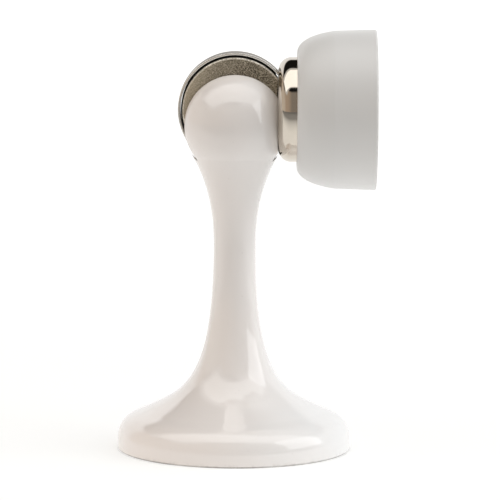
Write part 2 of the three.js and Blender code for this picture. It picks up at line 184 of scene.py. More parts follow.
def filleted(points, radius, closed=True, steps=5):
    """The outline with its corners rounded. Slight turns are left as they are."""
    made = []
    count = len(points)
    for i, here in enumerate(points):
        here = Vector(here)
        if not closed and i in (0, count - 1):
            made.append(here)
            continue
        back = Vector(points[i - 1]) - here
        on = Vector(points[(i + 1) % count]) - here
        turn = math.pi - back.angle(on, math.pi)
        if turn < SLIGHT_TURN:
            made.append(here)
            continue
        reach = min(radius * math.tan(turn / 2), FILLET_SHARE * back.length, FILLET_SHARE * on.length)
        start, end = here + back.normalized() * reach, here + on.normalized() * reach
        for k in range(steps + 1):
            t = k / steps
            s = 1 - t
            # A rational arc: its middle weight makes the curve circular.
            w = math.cos(turn / 2)
            total = s * s + 2 * w * s * t + t * t
            made.append((start * s * s + here * (2 * w * s * t) + end * t * t) / total)
    return [(p.x, p.y) for p in made]


def new_object(name, vertices, faces):
    mesh = bpy.data.meshes.new(name)
    mesh.from_pydata([[c * MM for c in v] for v in vertices], [], faces)
    mesh.validate()
    made = bpy.data.objects.new(name, mesh)
    bpy.context.scene.collection.objects.link(made)
    return made


def upright(r, h, turn):
    return (r * math.cos(turn), r * math.sin(turn), h)


def along_x(r, h, turn):
    return (h, r * math.cos(turn), AXIS_Z + r * math.sin(turn))


def outward(obj):
    """Turns the faces so that the enclosed volume is positive."""
    bm = bmesh.new()
    bm.from_mesh(obj.data)
    bmesh.ops.recalc_face_normals(bm, faces=bm.faces[:])
    if bm.calc_volume(signed=True) < 0:
        bmesh.ops.reverse_faces(bm, faces=bm.faces[:])
    bm.to_mesh(obj.data)
    bm.free()
    return obj


def lathe(name, profile, place=upright, sides=ROUND, closed=True):
    """A solid of revolution. A closed profile is a ring's section; an open one has both ends on the axis."""
    vertices, rings = [], []
    for r, h in profile:
        if r < 1e-6:
            rings.append([len(vertices)] * sides)
            vertices.append(place(0, h, 0))
        else:
            rings.append(list(range(len(vertices), len(vertices) + sides)))
            vertices += [place(r, h, 2 * math.pi * i / sides) for i in range(sides)]
    faces = []
    pairs = list(zip(rings, rings[1:] + rings[:1])) if closed else list(zip(rings, rings[1:]))
    for low, high in pairs:
        for i in range(sides):
            j = (i + 1) % sides
            corners = [low[i], low[j], high[j], high[i]]
            face = [c for k, c in enumerate(corners) if c not in corners[:k]]
            if len(face) > 2:
                faces.append(face)
    return outward(new_object(name, vertices, faces))


def loft(name, loops):
    """A solid through closed loops with the same number of points, joined in order."""
    vertices = [p for loop in loops for p in loop]
    n = len(loops[0])
    faces = []
    for k in range(len(loops) - 1):
        for i in range(n):
            j = (i + 1) % n
            faces.append([k * n + i, k * n + j, (k + 1) * n + j, (k + 1) * n + i])
    faces += [list(range(n)), list(range((len(loops) - 1) * n, len(loops) * n))]
    return outward(new_object(name, vertices, faces))


def apply_modifiers(obj):
    graph = bpy.context.evaluated_depsgraph_get()
    mesh = bpy.data.meshes.new_from_object(obj.evaluated_get(graph))
    obj.modifiers.clear()
    obj.data = mesh


def cut(obj, *tools):
    """Takes the tools away from the object, and removes them."""
    for tool in tools:
        step = obj.modifiers.new("cut", "BOOLEAN")
        step.operation, step.solver, step.object = "DIFFERENCE", "EXACT", tool
    apply_modifiers(obj)
    for tool in tools:
        bpy.data.objects.remove(tool)


def bevel_edges(obj, width, angle=35, segments=2):
    step = obj.modifiers.new("edges", "BEVEL")
    step.width, step.segments, step.limit_method = width * MM, segments, "ANGLE"
    step.angle_limit, step.use_clamp_overlap = math.radians(angle), True
    apply_modifiers(obj)


def smooth(obj):
    """Smooth shading that keeps broad flat faces flat."""
    obj.data.polygons.foreach_set("use_smooth", [True] * len(obj.data.polygons))
    step = obj.modifiers.new("normals", "WEIGHTED_NORMAL")
    step.mode, step.weight = "FACE_AREA", 60
    apply_modifiers(obj)


def rod(name, r, start, end, x, z, sides=FINE_ROUND, chamfer=0.0):
    """A rod along +Y, with a chamfer at both ends."""
    rings = [(r, start), (r, end)]
    if chamfer:
        rings = [(r - chamfer, start), (r, start + chamfer), (r, end - chamfer), (r - chamfer, end)]
    loops = [
        [
            (x + q * math.cos(2 * math.pi * i / sides), y, z + q * math.sin(2 * math.pi * i / sides))
            for i in range(sides)
        ]
        for q, y in rings
    ]
    return loft(name, loops)


# ---------------------------------------------------------------- material helpers


class Shader:
    """A node material on one Principled shader, with textures placed by the piece's own coordinates."""

    def __init__(self, name, **values):
        self.material = bpy.data.materials.new(name)
        self.material.use_nodes = True
        self.tree = self.material.node_tree
        self.tree.nodes.clear()
        self.surface = self.add("ShaderNodeBsdfPrincipled")
        output = self.add("ShaderNodeOutputMaterial")
        self.tree.links.new(self.surface.outputs[0], output.inputs["Surface"])
        for socket, value in values.items():
            self.set(self.surface, socket.replace("_", " "), value)
        self.place = self.add("ShaderNodeTexCoord").outputs["Object"]
        self.normal = None

    def add(self, kind, **settings):
        node = self.tree.nodes.new(kind)
        for key, value in settings.items():
            setattr(node, key, value)
        return node

    def set(self, node, socket, value):
        target = node.inputs[socket]
        if isinstance(value, bpy.types.NodeSocket):
            self.tree.links.new(value, target)
        elif isinstance(value, tuple) and len(value) == 3 and target.type == "RGBA":
            target.default_value = (*value, 1)
        else:
            target.default_value = value

    def stretch(self, scale):
        node = self.add("ShaderNodeMapping")
        self.set(node, "Vector", self.place)
        node.inputs["Scale"].default_value = scale
        return node.outputs[0]

    def noise(self, size_mm, detail=3.0, rough=0.55, place=None):
        """Noise from 0 to 1 with features of that size."""
        node = self.add("ShaderNodeTexNoise")
        self.set(node, "Vector", place or self.place)
        for socket, value in (("Scale", 1 / (size_mm * MM)), ("Detail", detail), ("Roughness", rough)):
            self.set(node, socket, value)
        return node.outputs["Fac"]

    def cells(self, size_mm):
        """The distance to the nearest of many scattered points, as far apart as that size."""
        node = self.add("ShaderNodeTexVoronoi")
        self.set(node, "Vector", self.place)
        self.set(node, "Scale", 1 / (size_mm * MM))
        return node.outputs["Distance"]

    def remap(self, value, low, high, to_low, to_high):
        node = self.add("ShaderNodeMapRange", clamp=True)
        for socket, x in (
            ("Value", value),
            ("From Min", low),
            ("From Max", high),
            ("To Min", to_low),
            ("To Max", to_high),
        ):
            self.set(node, socket, x)
        return node.outputs[0]

    def math(self, operation, a, b=0.0):
        node = self.add("ShaderNodeMath", operation=operation)
        self.set(node, 0, a)
        self.set(node, 1, b)
        return node.outputs[0]

    def mix(self, share, first, second):
        node = self.add("ShaderNodeMix", data_type="RGBA")
        self.set(node, "Factor", share)
        for socket, value in ((6, first), (7, second)):
            target = node.inputs[socket]
            if isinstance(value, bpy.types.NodeSocket):
                self.tree.links.new(value, target)
            else:
                target.default_value = (*value, 1)
        return node.outputs[2]

    def axis(self, letter):
        node = self.add("ShaderNodeSeparateXYZ")
        self.set(node, "Vector", self.place)
        return node.outputs[letter.upper()]

    def distance_from_axis(self):
        """How far a point is from the line through the pack's centre along Y."""
        x, z = self.axis("x"), self.math("SUBTRACT", self.axis("z"), AXIS_Z * MM)
        return self.math("SQRT", self.math("ADD", self.math("MULTIPLY", x, x), self.math("MULTIPLY", z, z)))

    def bump(self, height, depth_mm):
        """Adds relief of that depth to what is there already."""
        node = self.add("ShaderNodeBump")
        self.set(node, "Height", height)
        self.set(node, "Distance", depth_mm * MM)
        if self.normal is not None:
            self.set(node, "Normal", self.normal)
        self.normal = node.outputs[0]
        self.set(self.surface, "Normal", self.normal)

    def colour(self, value):
        self.set(self.surface, "Base Color", value)

    def roughness(self, value):
        self.set(self.surface, "Roughness", value)


def gloss_enamel():
    s = Shader("gloss_enamel", Coat_Weight=0.8, Coat_Roughness=0.06, Coat_IOR=1.5, IOR=1.5)
    warm, cool = (0.915, 0.848, 0.81), (0.88, 0.88, 0.878)
    # Painted light: the tone drifts from warm on the far side to cool on the door's side, standing in for
    # warm light from the left and cool light from the right.
    painted_light_drift = s.remap(s.axis("x"), -0.02, 0.02, 0, 1)
    cloud = s.noise(22, 2)
    coolness = s.remap(cloud, 0.3, 0.7, 0.55, 0.95)
    tone = s.mix(s.math("MULTIPLY", coolness, painted_light_drift), warm, cool)
    specks = s.remap(s.cells(3.1), 0.045, 0.075, 0.25, 0)
    tone = s.mix(s.math("MULTIPLY", specks, cloud), tone, (0.55, 0.51, 0.47))
    # The foot's lowest edge is worn, and a painted contact shade, with a little grime, darkens the line
    # where it meets the floor.
    rim = s.remap(s.axis("z"), 0.0002, 0.0011, 1, 0)
    worn = s.math("MULTIPLY", rim, s.remap(s.noise(1.6, 4), 0.45, 0.7, 0, 0.45))
    tone = s.mix(worn, tone, (0.47, 0.42, 0.37))
    floor_contact = s.remap(s.axis("z"), 0.00015, 0.0005, 1, 0)
    contact_shade_and_grime = s.math("MULTIPLY", floor_contact, s.remap(s.noise(7, 3), 0.3, 0.6, 0.35, 0.9))
    s.colour(s.mix(contact_shade_and_grime, tone, (0.16, 0.145, 0.13)))
    smudges = s.remap(s.noise(9, 4), 0.35, 0.75, 0.07, 0.15)
    s.roughness(s.math("ADD", smudges, s.math("MULTIPLY", worn, 0.3)))
    s.bump(s.noise(2.6, 1), 0.010)
    s.bump(s.noise(0.35, 2), 0.0006)
    return s.material


def satin_enamel():
    s = Shader("satin_enamel", Coat_Weight=0.15, Coat_Roughness=0.3, IOR=1.5)
    cloud = s.noise(16, 3)
    tone = s.mix(cloud, (0.735, 0.733, 0.728), (0.755, 0.748, 0.737))
    # The paint is worn along the edge that meets the door.
    back = s.remap(s.axis("x"), CUP_HIGH.x * MM - 0.0006, CUP_HIGH.x * MM, 0, 1)
    worn = s.math("MULTIPLY", back, s.remap(s.noise(1.4, 4), 0.45, 0.7, 0, 0.4))
    s.colour(s.mix(worn, tone, (0.45, 0.42, 0.39)))
    s.roughness(s.remap(s.noise(5, 5), 0.3, 0.75, 0.34, 0.46))
    s.bump(s.noise(0.55, 3), 0.0035)
    return s.material


def blasted_nickel():
    s = Shader("blasted_nickel", Metallic=1.0)
    dark, light = (0.13, 0.112, 0.085), (0.80, 0.70, 0.545)
    grain = s.noise(0.24, 4, 0.9)
    tone = s.mix(s.remap(grain, 0.42, 0.58, 0, 1), dark, light)
    patches = s.remap(s.noise(4, 3), 0.35, 0.7, 0.1, 0.5)
    tone = s.mix(patches, tone, (0.41, 0.365, 0.275))
    # Painted reflection: both ends of the crescent are lighter than its middle.
    door_end_reflection = s.remap(s.axis("x"), 0.004, 0.0095, 0, 0.6)
    tone = s.mix(door_end_reflection, tone, (0.66, 0.59, 0.46))
    far_end_reflection = s.remap(s.axis("x"), -0.0115, -0.005, 0.35, 0)
    tone = s.mix(far_end_reflection, tone, (0.74, 0.63, 0.47))
    # The blasting leaves dark pits, and painted light makes them denser towards the door, standing in for
    # the stronger contrast the bright cup's reflection gives on that side.
    reflection_contrast = s.remap(s.axis("x"), -0.011, 0.004, 0.15, 1)
    pits = s.math("MULTIPLY", s.remap(s.noise(0.34, 4, 0.9), 0.48, 0.54, 0, 0.92), reflection_contrast)
    tone = s.mix(pits, tone, (0.045, 0.037, 0.027))
    # The chamfer round the edge is brighter and smoother, in broken stretches.
    rim = s.remap(s.distance_from_axis(), (PLATE_R - 0.42) * MM, (PLATE_R - 0.34) * MM, 0, 1)
    rim = s.math("MULTIPLY", rim, s.remap(s.noise(0.6, 3, 0.7), 0.38, 0.56, 0.15, 1))
    s.colour(s.mix(rim, tone, (0.78, 0.73, 0.64)))
    rough = s.remap(s.noise(0.5, 3), 0.3, 0.7, 0.42, 0.62)
    s.roughness(s.math("SUBTRACT", rough, s.math("MULTIPLY", rim, 0.2)))
    s.bump(s.math("MULTIPLY", grain, s.math("SUBTRACT", 1.0, rim)), 0.14)
    return s.material


def bright_nickel():
    s = Shader("bright_nickel", Metallic=1.0)
    across, half = s.math("ABSOLUTE", s.axis("y")), HOOP_HIGH.y * MM
    # Painted highlight: a band along each edge of the hoop is light and smoother, against its dark body.
    edge = s.remap(across, half - 0.0006, half - 0.0002, 0, 1)
    grain = s.noise(0.35, 3, 0.7)
    body = s.mix(grain, (0.17, 0.153, 0.125), (0.45, 0.41, 0.35))
    s.colour(s.mix(edge, body, (0.95, 0.92, 0.87)))
    s.roughness(s.remap(edge, 0, 1, 0.45, 0.16))
    s.bump(grain, 0.05)
    return s.material


def polished_nickel():
    s = Shader("polished_nickel", Metallic=1.0)
    film = s.noise(6, 3)
    s.colour(s.mix(s.remap(film, 0.3, 0.7, 0, 1), (0.67, 0.61, 0.535), (0.62, 0.565, 0.49)))
    scratches = s.noise(1.0, 4, 0.7, s.stretch((0.25, 3.0, 3.0)))
    s.roughness(s.remap(scratches, 0.35, 0.75, 0.035, 0.11))
    s.bump(scratches, 0.0012)
    s.bump(s.noise(2.4, 2), 0.004)
    return s.material


def steel(name, light, dark, low, high, grain_mm=0.5, depth=0.004):
    """A plain metal. Its roughness wanders from low to high, and its tone is mottled."""
    s = Shader(name, Metallic=1.0)
    cloud = s.noise(5, 4)
    s.colour(s.mix(s.remap(cloud, 0.3, 0.7, 0, 1), light, dark))
    s.roughness(s.remap(s.noise(2.2, 5), 0.3, 0.75, low, high))
    s.bump(s.noise(grain_mm, 3), depth)
    return s.material


def dull(name, light, dark, low, high, grain_mm, depth, **values):
    """A plastic, rubber or ceramic with a fine grain, its roughness from low to high."""
    s = Shader(name, **values)
    s.colour(s.mix(s.remap(s.noise(3.5, 4), 0.3, 0.7, 0, 1), light, dark))
    s.roughness(s.remap(s.noise(1.6, 4), 0.3, 0.75, low, high))
    s.bump(s.noise(grain_mm, 3), depth)
    return s.material


FINISHES = {
    "gloss_enamel": gloss_enamel(),
    "satin_enamel": satin_enamel(),
    "blasted_nickel": blasted_nickel(),
    "bright_nickel": bright_nickel(),
    "polished_nickel": polished_nickel(),
    "plated_steel": steel("plated_steel", (0.60, 0.61, 0.62), (0.50, 0.51, 0.50), 0.24, 0.42),
    "black_steel": steel("black_steel", (0.055, 0.055, 0.06), (0.03, 0.03, 0.032), 0.35, 0.55),
    "spring_steel": steel("spring_steel", (0.42, 0.41, 0.40), (0.30, 0.29, 0.28), 0.22, 0.38, 0.25, 0.002),
    "ferrite": dull("ferrite", (0.035, 0.033, 0.032), (0.022, 0.021, 0.021), 0.55, 0.75, 0.4, 0.02),
    "black_plastic": dull(
        "black_plastic", (0.018, 0.018, 0.019), (0.012, 0.012, 0.012), 0.4, 0.6, 0.5, 0.006
    ),
    "black_rubber": dull(
        "black_rubber", (0.022, 0.022, 0.022), (0.014, 0.014, 0.014), 0.65, 0.85, 0.6, 0.01
    ),
    "nylon": dull(
        "nylon", (0.72, 0.69, 0.62), (0.66, 0.63, 0.56), 0.35, 0.5, 0.9, 0.004, Subsurface_Weight=0.15
    ),
}


def finish_piece(obj, node, slot, body):
    """Smooths a piece, gives it its finish and its body, and lets it stand for its CAD node."""
    smooth(obj)
    obj.data.materials.clear()
    obj.data.materials.append(FINISHES[slot])
    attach(obj, body)
    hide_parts(node)


# ---------------------------------------------------------------- pedestal


def off(point, way, length):
    """The point at that distance from another along a direction."""
    return (point[0] + way.x * length, point[1] + way.y * length)


def pedestal_outline():
    """The whole section of the pedestal: the hollow under it, its side and its ball head."""
    shoulder_way = Vector((-math.cos(SHOULDER_SLOPE), math.sin(SHOULDER_SLOPE)))
    neck_way = Vector((math.cos(NECK_SLOPE), math.sin(NECK_SLOPE)))
    foot, waist = (FOOT_R, FOOT_EDGE_Z), (WAIST_R, WAIST_Z)
    below = [
        (0, BOSS_BORE_TOP_Z),
        (BOSS_BORE_R, BOSS_BORE_TOP_Z),
        (BOSS_BORE_R, SEAT_Z),
        (BOSS_R, SEAT_Z),
        (BOSS_R, POCKET_TOP_Z),
        (POCKET_TOP_R, POCKET_TOP_Z),
        (POCKET_R, POCKET_SIDE_TOP_Z),
        (POCKET_R, SEAT_Z),
        (SEAT_R, SEAT_Z),
        (SEAT_R, 0),
        (FOOT_R, 0),
        foot,
    ]
    side = bezier(
        foot,
        (FOOT_R, FOOT_EDGE_Z + PULL_FOOT_UP),
        off(SHOULDER, shoulder_way, -PULL_SHOULDER_DOWN),
        SHOULDER,
        FOOT_STEPS,
    )
    side += bezier(
        SHOULDER,
        off(SHOULDER, shoulder_way, PULL_SHOULDER_UP),
        (WAIST_R, WAIST_Z - PULL_WAIST_DOWN),
        waist,
        FLARE_STEPS,
    )
    side += bezier(
        waist,
        (WAIST_R, WAIST_Z + PULL_WAIST_UP),
        off(NECK, neck_way, -PULL_NECK_DOWN),
        NECK,
        NECK_STEPS,
    )
    start = math.atan2(NECK[1] - HEAD_Z, NECK[0])
    head = []
    for i in range(1, HEAD_STEPS):
        turn = start + (math.pi / 2 - start) * i / HEAD_STEPS
        head.append((HEAD_R * math.cos(turn), HEAD_Z + HEAD_R * math.sin(turn)))
    return filleted(below, FOOT_FILLET, closed=False, steps=4) + side + head + [(0, HEAD_Z + HEAD_R)]


def grub_hole(node, start, end):
    """The tool for a grub screw's hole along +Y, a little wider than the screw."""
    low, high = box_mm(node)
    r = (high.z - low.z) / 2 + GRUB_CLEARANCE
    return rod(f"{node}_hole", r, start, end, (low.x + high.x) / 2, (low.z + high.z) / 2)


def make_pedestal():
    body = lathe("pedestal", pedestal_outline(), closed=False)
    slot = rod("slot_tool", SLOT_R, -SLOT_HALF, SLOT_HALF, 0, AXIS_Z, sides=BROAD_ROUND)
    far = HEAD_R * 2
    corners = ((-far, -far), (far, -far), (far, far), (-far, far))
    block = loft("flat_tool", [[(x, y, HEAD_Z + z) for y, z in corners] for x in (FLAT_X, far)])
    pack_hole = grub_hole("pack_grub_screw", 0, far)
    foot_hole = grub_hole("foot_grub_screw", FOOT_HOLE_START, 2 * FOOT_R)
    cut(body, slot, block, pack_hole, foot_hole)
    bevel_edges(body, SLOT_EDGE)
    finish_piece(body, "stand_body", "gloss_enamel", "stand")


# ---------------------------------------------------------------- magnet pack


def d_loop(r, flat, y, steps=180):
    """A circle about the pack's axis, cut straight at the flat."""
    half = math.acos(flat / r)
    made = []
    for i in range(steps + 1):
        turn = half + (2 * math.pi - 2 * half) * i / steps
        made.append((r * math.cos(turn), y, AXIS_Z + r * math.sin(turn)))
    return made


def d_plate(name, r, flat, low, high, chamfer):
    """A D-shaped plate from low to high along Y, its edges broken in two steps."""
    part = chamfer * CHAMFER_BULGE
    steps = [(chamfer, low), (part, low + part), (0, low + chamfer)]
    steps += [(0, high - chamfer), (part, high - part), (chamfer, high)]
    return loft(name, [d_loop(r - inset, flat - inset, y) for inset, y in steps])


def chamfered_section(inner, outer, low, high, chamfer):
    """A rectangle with its four corners cut off."""
    return [
        (inner, low + chamfer),
        (inner + chamfer, low),
        (outer - chamfer, low),
        (outer, low + chamfer),
        (outer, high - chamfer),
        (outer - chamfer, high),
        (inner + chamfer, high),
        (inner, high - chamfer),
    ]


def band(name, inner, outer, flat, half, chamfer, steps=200):
    """A C-shaped strip round the pack: a chamfered section turned about the axis, its ends cut flat."""
    section = chamfered_section(inner, outer, -half, half, chamfer)
    loops = []
    for i in range(steps + 1):
        loop = []
        for r, y in section:
            start = math.acos(flat / r)
            turn = start + (2 * math.pi - 2 * start) * i / steps
            loop.append((r * math.cos(turn), y, AXIS_Z + r * math.sin(turn)))
        loops.append(loop)
    return loft(name, loops)


def rivet_hole(low, high):
    """The tool for the rivet's hole through a plate from low to high."""
    return rod("rivet_tool", RIVET_HOLE_R, low - 1, high + 1, 0, AXIS_Z)


def make_pole_plates():
    half = -PLATE_LOW.y
    thick = PLATE_HIGH.y - PLATE_LOW.y
    sides = {
        "front_pole_plate": ("front_magnet_pole_plate", -half, -half + thick),
        "rear_pole_plate": ("rear_magnet_pole_plate", half - thick, half),
    }
    for node, (name, low, high) in sides.items():
        plate = d_plate(name, PLATE_R, FLAT_X, low, high, PLATE_CHAMFER)
        cut(plate, rivet_hole(low, high))
        finish_piece(plate, node, "blasted_nickel", "stand")


def make_hoop():
    outer = HOOP_HIGH.z - AXIS_Z
    hoop = band("nickel_hoop", outer - HOOP_WALL, outer, FLAT_X, HOOP_HIGH.y, HOOP_CHAMFER)
    finish_piece(hoop, "magnet_hoop", "bright_nickel", "stand")


def make_spacer():
    high = box_mm("magnet_spacer")[1]
    spacer = band("spacer_band", SPACER_INNER_R, high.z - AXIS_Z, high.x, high.y, SPACER_CHAMFER)
    finish_piece(spacer, "magnet_spacer", "black_plastic", "stand")


def make_magnet():
    low, high = box_mm("magnet")
    magnet = d_plate("ferrite_magnet", high.z - AXIS_Z, high.x, low.y, high.y, MAGNET_CHAMFER)
    cut(magnet, rivet_hole(low.y, high.y))
    finish_piece(magnet, "magnet", "ferrite", "stand")


def make_rivet():
    low, high = box_mm("pack_rivet")
    rivet = rod("rivet", high.x, low.y, high.y, 0, AXIS_Z, chamfer=RIVET_CHAMFER)
    finish_piece(rivet, "pack_rivet", "plated_steel", "stand")


def make_grub_screw(node, name, hex_r, body):
    """A headless socket screw along +Y, in its CAD box."""
    low, high = box_mm(node)
    r = (high.z - low.z) / 2
    x, z = (low.x + high.x) / 2, (low.z + high.z) / 2
    screw = rod(name, r, low.y, high.y, x, z, chamfer=GRUB_CHAMFER)
    cut(screw, rod(f"{name}_tool", hex_r, high.y - HEX_DEPTH, high.y + 1, x, z, sides=6))
    bevel_edges(screw, HEX_EDGE, angle=50, segments=1)
    finish_piece(screw, node, "black_steel", body)


# ---------------------------------------------------------------- floor plate


def screw_hole_tools(name, thick, place, count, circle, r, sink, depth):
    """The tools for a ring of countersunk holes through a plate between heights 0 and thick."""
    tools = []
    for i in range(count):
        turn = 2 * math.pi * i / count
        a, b = circle * math.cos(turn), circle * math.sin(turn)
        loops = []
        for radius, height in ((r, -1), (r, thick - depth), (sink, thick), (sink, thick + 1)):
            loop = []
            for k in range(HOLE_ROUND):
                around = 2 * math.pi * k / HOLE_ROUND
                loop.append(place(a + radius * math.cos(around), b + radius * math.sin(around), height))
            loops.append(loop)
        tools.append(loft(f"{name}_{i}", loops))
    return tools


def make_floor_plate():
    high = box_mm("floor_plate")[1]
    outline = [
        (STUD_FOOT_R + STUD_GAP, 0),
        (high.x, 0),
        (high.x, high.z),
        (STUD_R + STUD_GAP, high.z),
        (STUD_R + STUD_GAP, STUD_FOOT_DEPTH),
    ]
    disc = lathe("floor_disc", filleted(outline, EDGE_BREAK))

    def place(a, b, height):
        return (a, -b, height)

    cut(disc, *screw_hole_tools("floor_hole", high.z, place, **FLOOR_HOLES))
    bevel_edges(disc, HOLE_EDGE, segments=1)
    finish_piece(disc, "floor_plate", "plated_steel", "stand")


def make_stud():
    top = box_mm("floor_stud")[1].z
    outline = [
        (0, 0),
        (STUD_FOOT_R, 0),
        (STUD_R, STUD_FOOT_DEPTH),
        (STUD_R, top - STUD_CHAMFER),
        (STUD_R - STUD_CHAMFER, top),
        (0, top),
    ]
    stud = lathe("stud", filleted(outline, STUD_FILLET, closed=False), closed=False, sides=FINE_ROUND)
    finish_piece(stud, "floor_stud", "plated_steel", "stand")


# ---------------------------------------------------------------- cup


def cup_outline():
    """The cup's section: a rounded outside, a thin shell, and the web and wall round its mouth."""
    front, back, outer = CUP_LOW.x, CUP_HIGH.x, CUP_HIGH.y
    lip, shoulder = (CUP_LIP_R, front), (CUP_SHOULDER_R, CUP_SHOULDER_X)
    side = bezier(
        lip,
        (CUP_LIP_R + CUP_LIP_PULL, front),
        (CUP_SHOULDER_R - CUP_SHOULDER_LEAN, CUP_SHOULDER_X - CUP_SHOULDER_PULL),
        shoulder,
        CUP_STEPS,
    )
    edge = [(outer, back - CUP_EDGE_LONG), (outer - CUP_EDGE_DEEP, back)]
    inner = [
        (CUP_INNER_R, back),
        (CUP_INNER_R, CUP_TAPER_X),
        (CUP_POCKET_R, CUP_POCKET_X),
        (MOUTH_WALL_R, CUP_POCKET_X),
        (MOUTH_WALL_R, WEB_BACK_X),
        (WEB_BORE_R, WEB_BACK_X),
        (WEB_BORE_R, WEB_FRONT_X),
        (MOUTH_R, WEB_FRONT_X),
        (MOUTH_R, front + MOUTH_LIP),
    ]
    return filleted([lip] + side + edge + inner, EDGE_BREAK)


def make_cup():
    cup = lathe("door_cup_shell", cup_outline(), along_x, sides=BROAD_ROUND)
    cut(cup, grub_hole("cup_grub_screw", DOOR_PLATE_HIGH.y, 2 * CUP_HIGH.y))
    finish_piece(cup, "cup_shell", "satin_enamel", "door_cup")


def make_door_plate():
    front, back, r = DOOR_PLATE_LOW.x, DOOR_PLATE_HIGH.x, DOOR_PLATE_HIGH.y
    outline = filleted([(0, front), (r, front), (r, back), (0, back)], EDGE_BREAK, closed=False)
    disc = lathe("door_disc", outline, along_x, closed=False)

    def place(a, b, height):
        return (back - height, a, AXIS_Z + b)

    cut(disc, *screw_hole_tools("door_hole", back - front, place, **DOOR_HOLES))
    bevel_edges(disc, HOLE_EDGE, segments=1)
    finish_piece(disc, "door_plate", "plated_steel", "door_cup")


def make_bush():
    low, high = box_mm("guide_bush")
    outline = [
        (BUSH_BORE_R, low.x),
        (BUSH_R, low.x),
        (BUSH_R, high.x - BUSH_FLANGE),
        (BUSH_FLANGE_R, high.x - BUSH_FLANGE),
        (BUSH_FLANGE_R, high.x),
        (BUSH_BORE_R, high.x),
    ]
    bush = lathe("bush", filleted(outline, BUSH_FILLET), along_x, FINE_ROUND)
    finish_piece(bush, "guide_bush", "nylon", "door_cup")


def ring_outline(inner, outer, node, fillet):
    """A ring's section, as long as its CAD box."""
    low, high = box_mm(node)
    return filleted([(inner, low.x), (outer, low.x), (outer, high.x), (inner, high.x)], fillet)


def make_buffer():
    outline = ring_outline(BUFFER_INNER_R, BUFFER_R, "buffer_ring", BUFFER_FILLET)
    finish_piece(lathe("rubber_buffer", outline, along_x), "buffer_ring", "black_rubber", "door_cup")


def spring(name, low, high, wire, turns, sides=12, per_turn=48):
    """A coil of round wire along X that fills its CAD box."""
    start, end = low.x + wire, high.x - wire
    mean = high.z - AXIS_Z - wire
    loops = []
    steps = turns * per_turn
    for i in range(steps + 1):
        t = i / steps
        turn = 2 * math.pi * turns * t
        centre = Vector((start + (end - start) * t, mean * math.cos(turn), AXIS_Z + mean * math.sin(turn)))
        out = Vector((0, math.cos(turn), math.sin(turn)))
        pace = 2 * math.pi * turns
        way = Vector((end - start, -mean * math.sin(turn) * pace, mean * math.cos(turn) * pace))
        across = way.normalized().cross(out)
        loop = []
        for k in range(sides):
            round_wire = 2 * math.pi * k / sides
            loop.append(
                tuple(centre + out * (wire * math.cos(round_wire)) + across * (wire * math.sin(round_wire)))
            )
        loops.append(loop)
    return loft(name, loops)


def make_spring():
    low, high = box_mm("plunger_spring")
    coil = spring("coil_spring", low, high, SPRING_WIRE_R, SPRING_TURNS)
    finish_piece(coil, "plunger_spring", "spring_steel", "door_cup")
    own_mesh(coil)


# ---------------------------------------------------------------- strike and plunger


def strike_outline():
    """A flat face, a full round edge and a straight side, bored from the back."""
    face, back, r = STRIKE_FACE_X, STRIKE_HIGH.x, STRIKE_HIGH.y
    edge, pull = STRIKE_EDGE, STRIKE_PULL * STRIKE_EDGE
    side = bezier((r - edge, face), (r - pull, face), (r, face + pull), (r, face + edge), STRIKE_STEPS)
    inner = [
        (r, face + edge),
        (r, back),
        (STRIKE_BORE_R, back),
        (STRIKE_BORE_R, STRIKE_FLOOR_X),
        (0, STRIKE_FLOOR_X),
    ]
    return [(0, face), (r - edge, face)] + side + filleted(inner, STRIKE_FILLET, closed=False)[1:]


def make_strike():
    strike = lathe("strike", strike_outline(), along_x, BROAD_ROUND, closed=False)
    finish_piece(strike, "strike_cap", "polished_nickel", "strike")


def make_cap_ring():
    outline = ring_outline(CAP_RING_INNER_R, CAP_RING_R, "cap_ring", CAP_RING_FILLET)
    finish_piece(lathe("swaged_ring", outline, along_x), "cap_ring", "plated_steel", "strike")


def make_rod():
    """The rod: a domed head in the strike, a plain shank, and a groove for its clip."""
    end = box_mm("plunger_rod")[1].x
    outline = [
        (0, ROD_TIP_X),
        (ROD_DOME_R, ROD_DOME_X),
        (ROD_HEAD_R, ROD_HEAD_FRONT_X),
        (ROD_HEAD_R, ROD_HEAD_BACK_X),
        (ROD_R, ROD_HEAD_BACK_X),
        (ROD_R, GROOVE_FRONT_X),
        (GROOVE_R, GROOVE_FRONT_X),
        (GROOVE_R, GROOVE_BACK_X),
        (ROD_R, GROOVE_BACK_X),
        (ROD_R, end - ROD_CHAMFER),
        (ROD_R - ROD_CHAMFER, end),
        (0, end),
    ]
    shank = lathe("rod", filleted(outline, ROD_FILLET, closed=False), along_x, FINE_ROUND, closed=False)
    finish_piece(shank, "plunger_rod", "plated_steel", "plunger")


def make_clip():
    """A snap ring whose opening faces the same way as the CAD clip's, found from its vertices."""
    low, high = box_mm("retaining_clip")
    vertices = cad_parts["retaining_clip"].data.vertices
    turns = sorted(math.atan2(v.co.z / MM - AXIS_Z, v.co.y / MM) for v in vertices)
    gaps = [(b - a, (a + b) / 2) for a, b in zip(turns, turns[1:] + [turns[0] + 2 * math.pi])]
    opening = max(gaps)[1]
    section = chamfered_section(CLIP_INNER_R, high.z - AXIS_Z, low.x, high.x, CLIP_CHAMFER)
    steps = 96
    loops = []
    for i in range(steps + 1):
        turn = opening + CLIP_HALF_OPENING + (2 * math.pi - 2 * CLIP_HALF_OPENING) * i / steps
        loops.append([along_x(r, x, turn) for r, x in section])
    finish_piece(loft("snap_ring", loops), "retaining_clip", "black_steel", "plunger")


